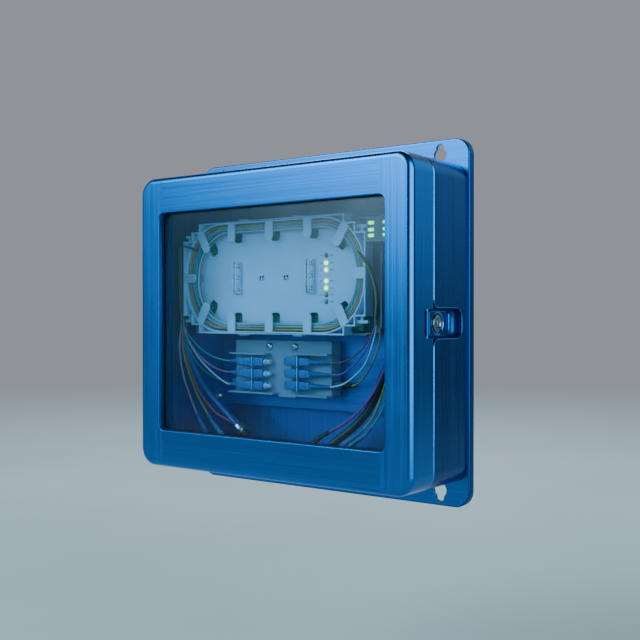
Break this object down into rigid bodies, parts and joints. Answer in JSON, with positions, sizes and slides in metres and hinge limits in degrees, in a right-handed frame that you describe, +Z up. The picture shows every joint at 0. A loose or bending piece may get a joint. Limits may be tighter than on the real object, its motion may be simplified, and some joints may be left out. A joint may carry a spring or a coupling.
{
  "type": "optical network terminal",
  "caption": "Wall-mounted optical network terminal: brushed enclosure with hinged window door, keyed latch lever, fibre splice tray, status lights and connector bracket.",
  "frame": {"origin": "centre of the mounting plate's back face, the face that lies on the wall", "axes": "+X to the right seen from the front, +Z up, the door's window faces -Y and the wall is on the +Y side"},
  "size_m": [0.3125, 0.096, 0.3108],
  "materials": {
    "blue_anodised": "brushed anodised, clear blue",
    "latch_blue": "satin dark blue",
    "window_clear": "clear polished",
    "gasket_rubber": "matt moulded",
    "steel_bright": "fine turned",
    "lock_chrome": "polished",
    "abs_white": "fine moulded grain",
    "grey_plastic": "moulded grey",
    "connector_blue": "moulded blue",
    "cap_plastic": "moulded off-white",
    "board_green": "solder mask",
    "module_metal": "tinned can",
    "lit_lens": "lit yellow-green diffuser",
    "status_lens": "lit green diffuser",
    "button_grey": "moulded",
    "fibre_mix": "coated fibre, mixed colours",
    "lead_teal": "coated fibre",
    "lead_violet": "coated fibre",
    "lead_red": "jacketed lead",
    "lead_magenta": "jacketed lead",
    "plug_black": "moulded black",
    "port_black": "moulded charcoal"
  },
  "bodies": {
    "body": {"back_plate": "blue_anodised", "body_shell": "blue_anodised", "chassis_plate": "blue_anodised", "latch_pocket": "latch_blue", "hinge_upper_fixed_leaf": "steel_bright", "hinge_lower_fixed_leaf": "steel_bright", "chassis_screw_left": "steel_bright", "chassis_screw_right": "steel_bright", "bracket_screw_left": "steel_bright", "bracket_screw_right": "steel_bright", "splice_tray": "abs_white", "splice_holder_left": "abs_white", "splice_holder_right": "abs_white", "board_carrier": "grey_plastic", "connector_bracket": "grey_plastic", "status_block": "grey_plastic", "adapter_left_1": "connector_blue", "adapter_right_1": "connector_blue", "plug_left_1": "connector_blue", "plug_right_1": "connector_blue", "adapter_left_2": "connector_blue", "adapter_right_2": "connector_blue", "plug_left_2": "connector_blue", "plug_right_2": "connector_blue", "adapter_left_3": "connector_blue", "adapter_right_3": "connector_blue", "plug_left_3": "connector_blue", "plug_right_3": "connector_blue", "main_board": "board_green", "optical_module": "module_metal", "led_light_guide": "lit_lens", "status_light_guide": "status_lens", "fibre_loop": "fibre_mix", "pigtails_left": "lead_teal", "pigtails_right": "lead_violet", "riser_leads_left": "lead_red", "riser_leads_right": "lead_magenta", "lower_plug_1": "connector_blue", "lower_plug_2": "connector_blue", "lower_plug_3": "plug_black", "lower_plug_4": "plug_black", "port_block_left": "port_black", "port_block_right": "port_black"},
    "door": {"door_frame": "blue_anodised", "window_pane": "window_clear", "window_gasket": "gasket_rubber", "door_seal": "gasket_rubber", "hinge_upper_moving_leaf": "steel_bright", "hinge_lower_moving_leaf": "steel_bright", "latch_pin": "steel_bright"},
    "lever": {"latch_lever": "latch_blue", "lock_barrel": "lock_chrome", "lock_nut": "steel_bright"},
    "lock": {"lock_plug": "lock_chrome", "lock_cam": "steel_bright"},
    "cap_1": {"dust_cap_1": "cap_plastic"},
    "cap_2": {"dust_cap_2": "cap_plastic"},
    "cap_3": {"dust_cap_3": "cap_plastic"},
    "button": {"reset_button": "button_grey"}
  },
  "joints": [
    {"name": "door_hinge", "type": "hinge", "parent": "body", "child": "door", "pos_m": [-0.156, -0.063, 0], "axis": [0, 0, -1], "range_deg": [0, 130]},
    {"name": "lever_pivot", "type": "hinge", "parent": "door", "child": "lever", "pos_m": [0.147, -0.069, 0], "axis": [0, 0, -1], "range_deg": [0, 95]},
    {"name": "lock_turn", "type": "hinge", "parent": "lever", "child": "lock", "pos_m": [0.143, -0.0565, 0], "axis": [1, 0, 0], "range_deg": [0, 90]},
    {"name": "cap_1_pull", "type": "slide", "parent": "body", "child": "cap_1", "axis": [1, 0, 0], "range_m": [0, 0.012]},
    {"name": "cap_2_pull", "type": "slide", "parent": "body", "child": "cap_2", "axis": [1, 0, 0], "range_m": [0, 0.012]},
    {"name": "cap_3_pull", "type": "slide", "parent": "body", "child": "cap_3", "axis": [1, 0, 0], "range_m": [0, 0.012]},
    {"name": "button_press", "type": "slide", "parent": "body", "child": "button", "axis": [0, 1, 0], "range_m": [0, 0.0007], "stiffness_N_per_m": 400}
  ]
}
